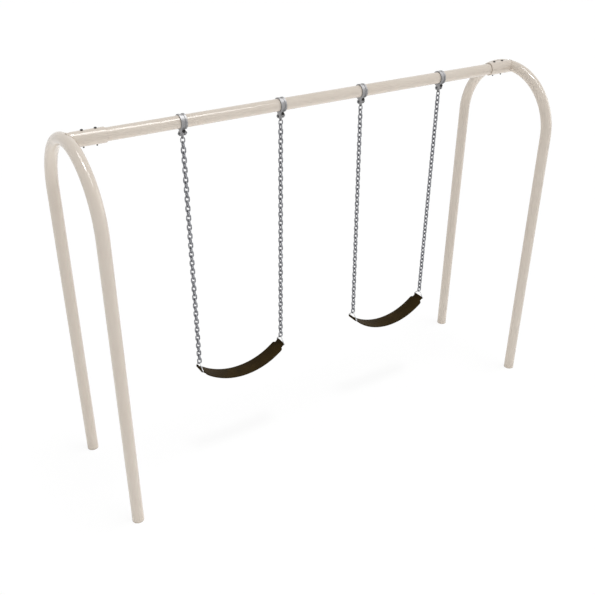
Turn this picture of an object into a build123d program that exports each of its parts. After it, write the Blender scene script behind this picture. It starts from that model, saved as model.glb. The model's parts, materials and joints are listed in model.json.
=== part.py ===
"""Two-seat arch-post swing set.

Frame: +X along the top beam, +Y the way the swings travel, +Z up.
Origin: on the ground, midway between the two arches.
"""

from math import asin, atan, cos, degrees, radians, sin, sqrt
import os

from build123d import *

# ---------------------------------------------------------------- frame sizes
RAIL_TOP_Z = 2438.4  # ground to the top of the beam, 8 ft
TUBE_OD = 76.2  # 3 in frame tube, used for arches and beam
TUBE_WALL = 3.4
ARCH_SPACING = 3306.0  # between the planes of the two arches
LEG_SPACING = 843.0  # between the two legs of one arch
BEAM_END_GAP = 6.0  # from the beam's end to the arch tube

SLEEVE_OD = 88.9  # 3 1/2 in pipe that takes the beam's end
SLEEVE_FIT = 0.8  # radial room between beam and sleeve
SLEEVE_REACH = 218.0  # from the arch's plane to the sleeve's mouth
SLEEVE_SET_BACK = 6.0  # from the middle of the arch tube to the sleeve's dressed end
SLEEVE_LIP = 1.3  # wall left there, where the sleeve is ground down to the arch
WELD_LEG = 5.0
WELD_BREAK = 26.0  # the beads stop short of the arch's top and bottom

BOLT_INSETS = (91.0, 168.0)  # from the arch's plane to each through bolt
BEAM_BOLT_D = 9.5  # 3/8 in, threaded into the sleeve's lower wall
BEAM_BOLT_AF = 14.3
BEAM_BOLT_HEAD = 6.2
BEAM_BOLT_TIP = 9.0  # how far the bolt's end shows below the sleeve
THREAD_STICK_OUT = 2.0
HOLE_ROOM = 0.4  # radial room of a bolt in its hole
THREAD_ROOM = 0.05  # radial room of a bolt in its thread
OVERCUT = 1.0  # how far a cutting tool runs past the metal

# --------------------------------------------------------------- hanger sizes
SWING_SPACING = 1282.0  # between the middles of the two seats
HANGER_HALF_SPACING = 334.0  # from a swing's centre to each of its hangers
CLAMP_WIDTH = 39.0
CLAMP_FIT = 0.2
CLAMP_WEB = 4.6  # wall of the band under its groove
CLAMP_RIM = 3.0  # height of the two rims above the groove
CLAMP_GROOVE = 17.0
CLAMP_SPLIT = 1.2  # gap left between the two half bands

PIVOT_DROP = 69.3  # from the beam's axis down to the pivot bolt
PIVOT_BOLT_D = 9.5
PIVOT_BOLT_AF = 14.3
PIVOT_BOLT_HEAD = 6.2
PIVOT_NUT_HEIGHT = 8.2
EAR_GAP = 23.0
EAR_THICKNESS = 8.0
EAR_RADIUS = 14.0

CLAMP_BOLT_DROP = 49.8  # from the beam's axis down to the clamp bolt
CLAMP_BOLT_D = 10.0
CLAMP_BOLT_AF = 17.0
CLAMP_BOLT_HEAD = 6.4
CLAMP_NUT_HEIGHT = 8.0
LUG_REACH = 24.0
LUG_INNER = 3.0
LUG_WIDTH = 18.0
LUG_FLOOR = 3.0  # wall of the lug below the bolt's hole

BARREL_RADIUS = 10.5
BARREL_ROOM = 0.3  # between the pendulum's barrel and each ear
BUSH_WALL = 2.2
BUSH_FIT = 0.06  # radial running fit on the pivot bolt
BUSH_SEAT = 0.02  # radial, between bush and barrel
EYE_DROP = 22.7  # from the pivot down to the middle of the eye
EYE_HOLE_RADIUS = 6.0
EYE_RADIUS = 10.5
EYE_THICKNESS = 8.0
EYE_EDGE = 1.5

# ---------------------------------------------------------------- chain sizes
RING_WIRE = 7.0
RING_WIDTH = 32.0
RING_HEIGHT = 42.0
RING_SEAT = 1.6  # from the eye's middle down to the ring's wire
CHAIN_LINKS = 50
LINK_PITCH = 31.0
LINK_WIRE = 9.5
LINK_WIDTH = 34.8
LINK_ROOM = 0.25  # left between two links that hang in each other
APEX_HALF_SPACING = 322.0  # from a swing's centre to each seat triangle

# ----------------------------------------------------------------- seat sizes
TRIANGLE_WIRE = 6.35
TRIANGLE_HEIGHT = 43.2  # from the end link's bar down to the triangle's base
TRIANGLE_OUTER = 107.0  # over the two bottom corners
TRIANGLE_CORNER = 4.0  # bend radius of the bottom corners
TRIANGLE_ROOM = 0.2  # between the triangle's top bend and the end link

SEAT_SAG = 130.5  # from the triangles' bases down to the middle of the belt
SEAT_WIDTH = 123.0
SEAT_THICKNESS = 9.0
SEAT_NECK_ROOM = 0.4  # between the neck and each side of the triangle
SEAT_NECK_LENGTH = 21.0
SEAT_SHOULDER = 16.0
SEAT_LOOP_WALL = 5.0
SEAT_LOOP_FIT = 0.1
INSERT_THICKNESS = 1.5
INSERT_WIDTH = 50.0
INSERT_END_GAP = 40.0  # from each base bar to the end of the insert
INSERT_ROOM = 0.1

# ------------------------------------------------------------- derived places
TUBE_RADIUS = TUBE_OD / 2
BEAM_Z = RAIL_TOP_Z - TUBE_RADIUS
ARCH_X = ARCH_SPACING / 2
BEND_RADIUS = LEG_SPACING / 2
LEG_TOP_Z = BEAM_Z - BEND_RADIUS
SLEEVE_RADIUS = SLEEVE_OD / 2
SLEEVE_BORE = TUBE_RADIUS + SLEEVE_FIT
BEAM_HALF_LENGTH = ARCH_X - TUBE_RADIUS - BEAM_END_GAP

CLAMP_BORE = TUBE_RADIUS + CLAMP_FIT
GROOVE_RADIUS = CLAMP_BORE + CLAMP_WEB
RIM_RADIUS = GROOVE_RADIUS + CLAMP_RIM
EAR_OUTER_X = EAR_GAP / 2 + EAR_THICKNESS
PIVOT_Z = BEAM_Z - PIVOT_DROP
EYE_Z = PIVOT_Z - EYE_DROP
BARREL_HALF_LENGTH = EAR_GAP / 2 - BARREL_ROOM
BUSH_BORE = PIVOT_BOLT_D / 2 + BUSH_FIT
BUSH_RADIUS = BUSH_BORE + BUSH_WALL

RING_BEND = (RING_WIDTH - RING_WIRE) / 2
RING_HALF_STRAIGHT = (RING_HEIGHT - RING_WIDTH) / 2
SWAY_Z = EYE_Z - RING_SEAT - RING_BEND  # middle of the ring's top bend
RING_FLOOR = 2 * RING_HALF_STRAIGHT + RING_BEND - RING_WIRE / 2  # below SWAY_Z

LINK_BEND = (LINK_WIDTH - LINK_WIRE) / 2
LINK_HALF_STRAIGHT = (LINK_PITCH + LINK_ROOM + LINK_WIRE) / 2 - LINK_BEND
END_PIVOT_REACH = RING_FLOOR + (CHAIN_LINKS - 1) * LINK_PITCH + LINK_WIRE / 2
CHAIN_LEAN = asin((HANGER_HALF_SPACING - APEX_HALF_SPACING) / END_PIVOT_REACH)
END_PIVOT_Z = SWAY_Z - END_PIVOT_REACH * cos(CHAIN_LEAN)
END_LINK_Z = END_PIVOT_Z + LINK_WIRE / 2 - LINK_PITCH / 2
TILT_Z = END_PIVOT_Z - LINK_PITCH  # bar of the end link that carries the seat
SEAT_BAR_Z = TILT_Z - TRIANGLE_HEIGHT

SWING_CENTRES = (-SWING_SPACING / 2, SWING_SPACING / 2)
HANGER_XS = [c + side * HANGER_HALF_SPACING for c in SWING_CENTRES for side in (-1, 1)]
LEANS = [-side for _ in SWING_CENTRES for side in (-1, 1)]  # towards the seat


def save(piece, name):
    """Label a finished piece and write it to its own file."""
    piece.part.label = name
    export_step(piece.part, f"parts/{name}.step")


def hexagon_radius(across_flats):
    return across_flats / sqrt(3)


# ---------------------------------------------------------------------- arches
def make_arch(x):
    """One bent tube: two upright legs joined by a half-circle bend."""
    with BuildPart() as arch:
        for side in (-1, 1):
            foot = Plane((x, side * BEND_RADIUS, 0))
            with BuildSketch(foot):
                Circle(TUBE_RADIUS)
                Circle(TUBE_RADIUS - TUBE_WALL, mode=Mode.SUBTRACT)
            extrude(amount=LEG_TOP_Z)
        with BuildSketch(Plane((x, BEND_RADIUS, LEG_TOP_Z))):
            Circle(TUBE_RADIUS)
            Circle(TUBE_RADIUS - TUBE_WALL, mode=Mode.SUBTRACT)
        revolve(axis=Axis((x, 0, LEG_TOP_Z), (1, 0, 0)), revolution_arc=180)
    return arch


def arch_envelope(x, radius):
    """The full round of an arch's upper bend at a given tube radius."""
    with BuildPart() as envelope:
        with BuildSketch(Plane((x, BEND_RADIUS, LEG_TOP_Z), x_dir=(0, 1, 0), z_dir=(0, 0, 1))):
            Circle(radius)
        revolve(axis=Axis((x, 0, LEG_TOP_Z), (1, 0, 0)), revolution_arc=180)
    return envelope


def sleeve_blank(grow=0.0, past=0.0):
    """Outline of the left sleeve, tapered where it is dressed down to the arch."""
    lip = SLEEVE_BORE + SLEEVE_LIP
    rise = (SLEEVE_RADIUS - lip) / (TUBE_RADIUS - SLEEVE_SET_BACK)
    with BuildPart() as blank:
        with BuildSketch(Plane((-ARCH_X, 0, BEAM_Z), x_dir=(1, 0, 0), z_dir=(0, -1, 0))):
            with BuildLine():
                Polyline(
                    (SLEEVE_SET_BACK - past, 0),
                    (SLEEVE_SET_BACK - past, lip + grow - rise * past),
                    (TUBE_RADIUS, SLEEVE_RADIUS + grow),
                    (SLEEVE_REACH + past, SLEEVE_RADIUS + grow),
                    (SLEEVE_REACH + past, 0),
                    close=True,
                )
            make_face()
        revolve(axis=Axis((-ARCH_X, 0, BEAM_Z), (1, 0, 0)))
    return blank


def make_sleeve():
    """Pipe socket coped to the left arch, drilled above and tapped below for the bolts."""
    blank = sleeve_blank()
    bend = arch_envelope(-ARCH_X, TUBE_RADIUS)
    with BuildPart() as sleeve:
        add(blank.part)
        with BuildSketch(Plane((-ARCH_X, 0, BEAM_Z), x_dir=(0, 1, 0), z_dir=(1, 0, 0))):
            Circle(SLEEVE_BORE)
        extrude(amount=SLEEVE_REACH + OVERCUT, mode=Mode.SUBTRACT)
        add(bend.part, mode=Mode.SUBTRACT)
        middle = (Align.CENTER, Align.CENTER)
        with Locations(*[(inset - ARCH_X, 0, BEAM_Z) for inset in BOLT_INSETS]):
            Cylinder(
                BEAM_BOLT_D / 2 + HOLE_ROOM, SLEEVE_OD, align=(*middle, Align.MIN), mode=Mode.SUBTRACT
            )
            Cylinder(
                BEAM_BOLT_D / 2 + THREAD_ROOM, SLEEVE_OD, align=(*middle, Align.MAX), mode=Mode.SUBTRACT
            )
    return sleeve


def make_weld():
    """Bead on each side that fills the corner between the left sleeve and its arch."""
    inner = sleeve_blank(past=OVERCUT)
    outer = sleeve_blank(grow=WELD_LEG)
    bend = arch_envelope(-ARCH_X, TUBE_RADIUS)
    bead = arch_envelope(-ARCH_X, TUBE_RADIUS + WELD_LEG)
    with BuildPart() as weld:
        add(outer.part)
        add(bead.part, mode=Mode.INTERSECT)
        add(inner.part, mode=Mode.SUBTRACT)
        add(bend.part, mode=Mode.SUBTRACT)
        with Locations((-ARCH_X, 0, BEAM_Z)):
            Box(4 * TUBE_OD, WELD_BREAK, 4 * TUBE_OD, mode=Mode.SUBTRACT)
    return weld


def across_the_middle(piece):
    """The same piece at the other end of the beam."""
    with BuildPart() as other:
        add(piece.part)
        mirror(about=Plane.YZ, mode=Mode.REPLACE)
    return other


# ------------------------------------------------------------------------ beam
def make_beam():
    """Straight tube between the sleeves, drilled through for the bolts."""
    with BuildPart() as beam:
        with BuildSketch(Plane((-BEAM_HALF_LENGTH, 0, BEAM_Z), x_dir=(0, 1, 0), z_dir=(1, 0, 0))):
            Circle(TUBE_RADIUS)
            Circle(TUBE_RADIUS - TUBE_WALL, mode=Mode.SUBTRACT)
        extrude(amount=2 * BEAM_HALF_LENGTH)
        with Locations(*beam_bolt_spots(BEAM_Z)):
            Cylinder(BEAM_BOLT_D / 2 + HOLE_ROOM, 2 * TUBE_OD, mode=Mode.SUBTRACT)
    return beam


def beam_bolt_spots(z):
    """Axis points of the four vertical bolts at one height."""
    return [(side * (ARCH_X - inset), 0, z) for side in (-1, 1) for inset in BOLT_INSETS]


SLEEVE_TOP_Z = BEAM_Z + SLEEVE_RADIUS
BOLT_TIP_Z = BEAM_Z - SLEEVE_RADIUS - BEAM_BOLT_TIP


def make_beam_bolts():
    with BuildPart() as bolts:
        for x, y, z in beam_bolt_spots(SLEEVE_TOP_Z):
            with BuildSketch(Plane((x, y, z))):
                RegularPolygon(hexagon_radius(BEAM_BOLT_AF), 6)
            extrude(amount=BEAM_BOLT_HEAD)
            with BuildSketch(Plane((x, y, BOLT_TIP_Z))):
                Circle(BEAM_BOLT_D / 2)
            extrude(amount=SLEEVE_TOP_Z - BOLT_TIP_Z)
        heads = bolts.faces().filter_by(Axis.Z).group_by(Axis.Z)[-1]
        chamfer(heads.edges(), length=1.0)
    return bolts


# --------------------------------------------------------------------- hangers
def make_clamp_half(x, turn):
    """One of two like castings; the second is the first turned half a turn.

    Each has half the grooved band, one ear for the pivot bolt and one lug for
    the clamp bolt. The sketch plane looks along the beam, v up, u away from
    the half's own side.
    """
    centre = (x, 0, BEAM_Z)
    across = Plane(centre, x_dir=(0, turn, 0), z_dir=(turn, 0, 0))
    band_mid = (CLAMP_BORE + RIM_RADIUS) / 2
    blend = (RIM_RADIUS - CLAMP_BORE) / 2 - 0.2
    high = radians(36)
    low = radians(78)
    with BuildPart() as half:
        with BuildSketch(across.offset(-CLAMP_WIDTH / 2)):
            Circle(RIM_RADIUS)
        extrude(amount=CLAMP_WIDTH)
        with BuildSketch(across.offset(-CLAMP_GROOVE / 2)):
            Circle(RIM_RADIUS + OVERCUT)
            Circle(GROOVE_RADIUS, mode=Mode.SUBTRACT)
        extrude(amount=CLAMP_GROOVE, mode=Mode.SUBTRACT)
        with BuildSketch(across.offset(-EAR_OUTER_X)):
            with Locations((0, -PIVOT_DROP)):
                Circle(EAR_RADIUS)
            with Locations(
                (-band_mid * cos(high), -band_mid * sin(high)),
                (-band_mid * cos(low), -band_mid * sin(low)),
            ):
                Circle(blend)
            make_hull()
        extrude(amount=EAR_THICKNESS)
        with BuildSketch(across.offset(-LUG_WIDTH / 2)):
            floor = -CLAMP_BOLT_DROP - CLAMP_BOLT_D / 2 - HOLE_ROOM - LUG_FLOOR
            with Locations((-LUG_REACH, floor)):
                Rectangle(
                    LUG_REACH - LUG_INNER, -floor - CLAMP_BORE / 2, align=(Align.MIN, Align.MIN)
                )
        extrude(amount=LUG_WIDTH)
        with BuildSketch(across.offset(-CLAMP_WIDTH)):
            Circle(CLAMP_BORE)
            with Locations((-CLAMP_SPLIT / 2, -RIM_RADIUS - OVERCUT)):
                Rectangle(2 * RIM_RADIUS, 3 * RIM_RADIUS, align=(Align.MIN, Align.MIN))
        extrude(amount=2 * CLAMP_WIDTH, mode=Mode.SUBTRACT)
        with BuildSketch(across.offset(-CLAMP_WIDTH)):
            with Locations((0, -PIVOT_DROP)):
                Circle(PIVOT_BOLT_D / 2 + HOLE_ROOM)
        extrude(amount=2 * CLAMP_WIDTH, mode=Mode.SUBTRACT)
        with BuildSketch(Plane((x, 0, BEAM_Z - CLAMP_BOLT_DROP), z_dir=(0, turn, 0))):
            Circle(CLAMP_BOLT_D / 2 + HOLE_ROOM)
        extrude(amount=-2 * LUG_REACH, mode=Mode.SUBTRACT)
    return half


def make_clamp_bolts():
    """Front-to-back bolts that draw each pair of half bands together."""
    length = 2 * LUG_REACH + CLAMP_NUT_HEIGHT + THREAD_STICK_OUT / 2
    with BuildPart() as bolts:
        for x in HANGER_XS:
            front = Plane(
                (x, -LUG_REACH, BEAM_Z - CLAMP_BOLT_DROP), x_dir=(1, 0, 0), z_dir=(0, -1, 0)
            )
            with BuildSketch(front):
                RegularPolygon(hexagon_radius(CLAMP_BOLT_AF), 6)
            extrude(amount=CLAMP_BOLT_HEAD)
            with BuildSketch(front):
                Circle(CLAMP_BOLT_D / 2)
            extrude(amount=-length)
    return bolts


def make_clamp_nuts():
    with BuildPart() as nuts:
        for x in HANGER_XS:
            back = Plane(
                (x, LUG_REACH, BEAM_Z - CLAMP_BOLT_DROP), x_dir=(1, 0, 0), z_dir=(0, 1, 0)
            )
            with BuildSketch(back):
                RegularPolygon(hexagon_radius(CLAMP_BOLT_AF), 6)
                Circle(CLAMP_BOLT_D / 2 + THREAD_ROOM, mode=Mode.SUBTRACT)
            extrude(amount=CLAMP_NUT_HEIGHT)
    return nuts


def make_pivot_bolts():
    """Bolts along the beam that the pendulums turn on, heads at the low-X ear."""
    length = 2 * EAR_OUTER_X + PIVOT_NUT_HEIGHT + THREAD_STICK_OUT
    with BuildPart() as bolts:
        for x in HANGER_XS:
            face = Plane((x - EAR_OUTER_X, 0, PIVOT_Z), x_dir=(0, 1, 0), z_dir=(1, 0, 0))
            with BuildSketch(face):
                RegularPolygon(hexagon_radius(PIVOT_BOLT_AF), 6)
            extrude(amount=-PIVOT_BOLT_HEAD)
            with BuildSketch(face):
                Circle(PIVOT_BOLT_D / 2)
            extrude(amount=length)
        chamfer(bolts.faces().filter_by(Axis.X).filter_by(is_head_face).edges(), length=1.0)
    return bolts


def is_head_face(face):
    """True for the outer hexagon face of a pivot bolt's head."""
    x = face.center().X
    return any(abs(x - (h - EAR_OUTER_X - PIVOT_BOLT_HEAD)) < 0.01 for h in HANGER_XS)


def make_pivot_nuts():
    with BuildPart() as nuts:
        for x in HANGER_XS:
            face = Plane((x + EAR_OUTER_X, 0, PIVOT_Z), x_dir=(0, 1, 0), z_dir=(1, 0, 0))
            with BuildSketch(face):
                RegularPolygon(hexagon_radius(PIVOT_BOLT_AF), 6)
                Circle(PIVOT_BOLT_D / 2 + THREAD_ROOM, mode=Mode.SUBTRACT)
            extrude(amount=PIVOT_NUT_HEIGHT)
    return nuts


def make_pendulum(x):
    """Barrel on the pivot bolt with a flat eye below it for the ring."""
    with BuildPart() as pendulum:
        with BuildSketch(Plane((x - EYE_THICKNESS / 2, 0, PIVOT_Z), x_dir=(0, 1, 0), z_dir=(1, 0, 0))):
            Circle(BARREL_RADIUS)
            with Locations((0, -EYE_DROP)):
                Circle(EYE_RADIUS)
            make_hull()
            with Locations((0, -EYE_DROP)):
                Circle(EYE_HOLE_RADIUS, mode=Mode.SUBTRACT)
        extrude(amount=EYE_THICKNESS)
        rims = pendulum.edges().filter_by(GeomType.CIRCLE)
        fillet(rims.filter_by(lambda e: abs(e.radius - EYE_HOLE_RADIUS) < 0.01), radius=EYE_EDGE)
        with BuildSketch(Plane((x - BARREL_HALF_LENGTH, 0, PIVOT_Z), x_dir=(0, 1, 0), z_dir=(1, 0, 0))):
            Circle(BARREL_RADIUS)
        extrude(amount=2 * BARREL_HALF_LENGTH)
        with BuildSketch(Plane((x - BARREL_HALF_LENGTH, 0, PIVOT_Z), x_dir=(0, 1, 0), z_dir=(1, 0, 0))):
            Circle(BUSH_RADIUS + BUSH_SEAT)
        extrude(amount=2 * BARREL_HALF_LENGTH, mode=Mode.SUBTRACT)
    return pendulum


def make_bushes(xs):
    """Bronze bushes pressed into the pendulums of one swing."""
    with BuildPart() as bushes:
        for x in xs:
            with BuildSketch(Plane((x - BARREL_HALF_LENGTH, 0, PIVOT_Z), x_dir=(0, 1, 0), z_dir=(1, 0, 0))):
                Circle(BUSH_RADIUS)
                Circle(BUSH_BORE, mode=Mode.SUBTRACT)
            extrude(amount=2 * BARREL_HALF_LENGTH)
    return bushes


# ---------------------------------------------------------------------- chains
def make_oval(plane, bend, half_straight, wire):
    """A closed wire link: two half-circle bends joined by straight sides.

    The link lies in the plane, long along the plane's y.
    """
    with BuildPart() as oval:
        with BuildLine(plane) as path:
            CenterArc((0, half_straight), bend, 0, 180)
            CenterArc((0, -half_straight), bend, 180, 180)
            Line((bend, half_straight), (bend, -half_straight))
            Line((-bend, half_straight), (-bend, -half_straight))
        start = plane.from_local_coords((bend, 0, 0))
        with BuildSketch(Plane(start, x_dir=plane.x_dir, z_dir=plane.y_dir)):
            Circle(wire / 2)
        sweep(path=path.line)
    return oval


def chain_plane(x, lean, reach, turned):
    """Plane of a link at a distance down a hung chain, turned to face X or Y."""
    tilt = lean * CHAIN_LEAN
    down = Vector(sin(tilt), 0, -cos(tilt))
    origin = Vector(x, 0, SWAY_Z) + down * reach
    broad = Vector(0, 1, 0) if turned else Vector(cos(tilt), 0, sin(tilt))
    return Plane(origin, x_dir=broad, z_dir=broad.cross(down * -1))


def make_ring(x, lean):
    plane = chain_plane(x, lean, RING_HALF_STRAIGHT, turned=False)
    return make_oval(plane, RING_BEND, RING_HALF_STRAIGHT, RING_WIRE)


def make_chain(x, lean):
    """All links but the last, each a quarter turn from its neighbours."""
    links = []
    for index in range(CHAIN_LINKS - 1):
        reach = RING_FLOOR + (index + 0.5) * LINK_PITCH
        plane = chain_plane(x, lean, reach, turned=index % 2 == 0)
        links.append(make_oval(plane, LINK_BEND, LINK_HALF_STRAIGHT, LINK_WIRE).part)
    with BuildPart() as chain:
        add(links)
    return chain


def make_end_link(x):
    """Last link, hanging plumb with the seat's triangle on its lower bar."""
    plane = Plane((x, 0, END_LINK_Z), x_dir=(1, 0, 0), z_dir=(0, -1, 0))
    return make_oval(plane, LINK_BEND, LINK_HALF_STRAIGHT, LINK_WIRE)


# ----------------------------------------------------------------------- seats
def triangle_corner_and_apex():
    """Sharp base corner and sharp apex of the wire's centre line.

    The sides are tangent to the round bend over the end link's bar, and the
    base corner stands out so that its rounded bend has the stated width.
    """
    top_bend = LINK_WIRE / 2 + TRIANGLE_ROOM + TRIANGLE_WIRE / 2
    half = TRIANGLE_OUTER / 2
    corner = half
    for _ in range(30):
        square = corner**2 - top_bend**2
        root = (TRIANGLE_HEIGHT * corner**2) ** 2
        root -= square * corner**2 * (TRIANGLE_HEIGHT**2 - top_bend**2)
        apex = (TRIANGLE_HEIGHT * corner**2 + sqrt(root)) / square
        tangent = TRIANGLE_CORNER / _half_angle_tan(apex, corner)
        corner = half - TRIANGLE_WIRE / 2 - TRIANGLE_CORNER + tangent
    return corner, apex, top_bend


def _half_angle_tan(height, base):
    angle = atan(height / base)
    return sin(angle) / (1 + cos(angle))


def triangle_room(height):
    """Half the width left inside the wire at a height above the base bar."""
    corner, apex, _ = triangle_corner_and_apex()
    side_angle = atan(apex / corner)
    return corner * (1 - height / apex) - TRIANGLE_WIRE / 2 / sin(side_angle)


def make_triangle(x):
    corner, apex, top_bend = triangle_corner_and_apex()
    plane = Plane((x, 0, SEAT_BAR_Z), x_dir=(0, 1, 0), z_dir=(1, 0, 0))
    with BuildPart() as triangle:
        with BuildLine(plane) as path:
            FilletPolyline(
                (-corner, 0),
                (corner, 0),
                (0, apex),
                radius=[TRIANGLE_CORNER, TRIANGLE_CORNER, top_bend],
                close=True,
            )
        with BuildSketch(Plane((x, 0, SEAT_BAR_Z), x_dir=(1, 0, 0), z_dir=(0, 1, 0))):
            Circle(TRIANGLE_WIRE / 2)
        sweep(path=path.line)
    return triangle


SEAT_LOOP_BORE = TRIANGLE_WIRE / 2 + SEAT_LOOP_FIT
SEAT_LOOP_RADIUS = SEAT_LOOP_BORE + SEAT_LOOP_WALL
SEAT_NECK_WIDTH = 2 * (triangle_room(SEAT_LOOP_RADIUS) - SEAT_NECK_ROOM)
SEAT_RADIUS = (APEX_HALF_SPACING**2 + SEAT_SAG**2) / (2 * SEAT_SAG)
SEAT_ARC_Z = SEAT_BAR_Z - SEAT_SAG + SEAT_RADIUS  # centre of the belt's curve


def belt_strip(x, half_chord, thickness, width):
    """A strip that follows the belt's curve, as wide as stated."""
    half_angle = degrees(asin(half_chord / SEAT_RADIUS))
    side = Plane((x, 0, SEAT_ARC_Z), x_dir=(1, 0, 0), z_dir=(0, -1, 0))
    with BuildPart() as strip:
        with BuildSketch(side.offset(-width / 2)):
            with BuildLine():
                outer = CenterArc((0, 0), SEAT_RADIUS + thickness / 2, 270 - half_angle, 2 * half_angle)
                inner = CenterArc((0, 0), SEAT_RADIUS - thickness / 2, 270 - half_angle, 2 * half_angle)
                Line(outer @ 0, inner @ 0)
                Line(outer @ 1, inner @ 1)
            make_face()
        extrude(amount=width)
    return strip


def make_belt(x):
    """Curved rubber belt with round shoulders and a loop round each base bar."""
    neck_half = APEX_HALF_SPACING + SEAT_LOOP_RADIUS
    body_half = APEX_HALF_SPACING - SEAT_NECK_LENGTH
    side = Plane((x, 0, SEAT_BAR_Z), x_dir=(1, 0, 0), z_dir=(0, -1, 0))
    bars = [(-APEX_HALF_SPACING, 0), (APEX_HALF_SPACING, 0)]
    strip = belt_strip(x, APEX_HALF_SPACING, SEAT_THICKNESS, SEAT_WIDTH)
    pocket = belt_strip(
        x,
        APEX_HALF_SPACING - INSERT_END_GAP + INSERT_ROOM,
        INSERT_THICKNESS + 2 * INSERT_ROOM,
        INSERT_WIDTH + 2 * INSERT_ROOM,
    )
    with BuildPart() as belt:
        add(strip.part)
        with BuildSketch(side.offset(-SEAT_WIDTH / 2)):
            with Locations(*bars):
                Circle(SEAT_LOOP_RADIUS)
        extrude(amount=SEAT_WIDTH)
        with BuildSketch(Plane((x, 0, 0))) as outline:
            Rectangle(2 * body_half, SEAT_WIDTH)
            fillet(outline.vertices(), radius=SEAT_SHOULDER)
            Rectangle(2 * (neck_half + OVERCUT), SEAT_NECK_WIDTH)
        extrude(amount=BEAM_Z, mode=Mode.INTERSECT)
        with BuildSketch(side.offset(-SEAT_WIDTH)):
            with Locations(*bars):
                Circle(SEAT_LOOP_BORE)
        extrude(amount=2 * SEAT_WIDTH, mode=Mode.SUBTRACT)
        add(pocket.part, mode=Mode.SUBTRACT)
    return belt


def make_insert(x):
    """Thin steel sheet sealed inside the belt."""
    return belt_strip(x, APEX_HALF_SPACING - INSERT_END_GAP, INSERT_THICKNESS, INSERT_WIDTH)


# ------------------------------------------------------------------- all parts
os.makedirs("parts", exist_ok=True)

left_sleeve, left_weld = make_sleeve(), make_weld()
for side, word in ((-1, "left"), (1, "right")):
    save(make_arch(side * ARCH_X), f"arch_{word}")
save(across_the_middle(left_sleeve), "beam_sleeve_right")
save(across_the_middle(left_weld), "sleeve_weld_right")
save(left_sleeve, "beam_sleeve_left")
save(left_weld, "sleeve_weld_left")

save(make_beam(), "top_beam")
save(make_beam_bolts(), "beam_bolts")
save(make_clamp_bolts(), "clamp_bolts")
save(make_clamp_nuts(), "clamp_nuts")
save(make_pivot_bolts(), "pivot_bolts")
save(make_pivot_nuts(), "pivot_nuts")

for number, (x, lean) in enumerate(zip(HANGER_XS, LEANS), start=1):
    save(make_clamp_half(x, 1), f"clamp_front_{number}")
    save(make_clamp_half(x, -1), f"clamp_back_{number}")
    save(make_pendulum(x), f"pendulum_{number}")
    save(make_ring(x, lean), f"hanger_ring_{number}")
    save(make_chain(x, lean), f"chain_{number}")
    apex_x = x + lean * (HANGER_HALF_SPACING - APEX_HALF_SPACING)
    save(make_end_link(apex_x), f"end_link_{number}")
    save(make_triangle(apex_x), f"seat_triangle_{number}")

for number, centre in enumerate(SWING_CENTRES, start=1):
    pair = [centre - HANGER_HALF_SPACING, centre + HANGER_HALF_SPACING]
    save(make_bushes(pair), f"pivot_bushes_{number}")
    save(make_belt(centre), f"seat_belt_{number}")
    save(make_insert(centre), f"seat_insert_{number}")

print("pivot z", round(PIVOT_Z, 3), "sway z", round(SWAY_Z, 3), "end pivot z", round(END_PIVOT_Z, 3))
print("tilt z", round(TILT_Z, 3), "seat bar z", round(SEAT_BAR_Z, 3), "belt radius", round(SEAT_RADIUS, 2))
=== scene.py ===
# %% [markdown]
# # A two-seat swing set, dressed in Blender
#
# The steel frame, the clamps and the chains already exist as exact solids.
# This lesson loads them, gives every piece the finish of the real material,
# and makes the pieces that deserve more shape than a plain solid has:
# bolts with chamfered heads and threads, rippled weld beads, welded chain
# links and moulded rubber seats.

# %% Load the frame
import json
from math import asin, atan2, cos, degrees, hypot, pi, radians, sin, sqrt, tan

import bmesh
import bpy
from mathutils import Matrix, Vector


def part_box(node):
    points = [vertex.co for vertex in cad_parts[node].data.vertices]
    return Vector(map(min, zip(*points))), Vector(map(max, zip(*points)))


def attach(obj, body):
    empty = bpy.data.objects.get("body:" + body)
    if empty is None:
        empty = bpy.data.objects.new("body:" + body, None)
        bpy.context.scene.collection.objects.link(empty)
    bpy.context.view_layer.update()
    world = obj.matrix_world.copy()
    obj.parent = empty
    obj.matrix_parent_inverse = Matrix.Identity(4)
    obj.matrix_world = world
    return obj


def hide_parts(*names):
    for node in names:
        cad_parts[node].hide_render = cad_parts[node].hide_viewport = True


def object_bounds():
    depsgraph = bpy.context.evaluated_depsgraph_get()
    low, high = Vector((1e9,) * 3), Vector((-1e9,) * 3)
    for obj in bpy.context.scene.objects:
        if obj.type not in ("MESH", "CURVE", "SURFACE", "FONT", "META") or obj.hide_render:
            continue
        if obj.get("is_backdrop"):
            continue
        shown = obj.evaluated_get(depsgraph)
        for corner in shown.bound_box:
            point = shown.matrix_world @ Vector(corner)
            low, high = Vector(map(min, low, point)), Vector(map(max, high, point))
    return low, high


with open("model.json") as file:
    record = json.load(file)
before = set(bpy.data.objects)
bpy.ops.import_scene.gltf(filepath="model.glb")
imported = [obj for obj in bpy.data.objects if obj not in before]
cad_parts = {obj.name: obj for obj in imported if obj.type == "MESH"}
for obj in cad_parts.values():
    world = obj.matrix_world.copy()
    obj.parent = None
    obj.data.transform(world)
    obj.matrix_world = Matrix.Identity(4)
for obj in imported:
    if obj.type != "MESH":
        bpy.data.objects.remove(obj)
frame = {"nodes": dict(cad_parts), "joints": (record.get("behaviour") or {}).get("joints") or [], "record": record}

cad_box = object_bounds()
scene = bpy.context.scene

# %% [markdown]
# ## The camera
#
# A camera is a place, a direction and a lens. It stands a little above the
# top beam, in front of the left arch, and looks down across the set. The
# turn is written as yaw, pitch and roll, because those are the three things
# a person changes on a tripod.

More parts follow.
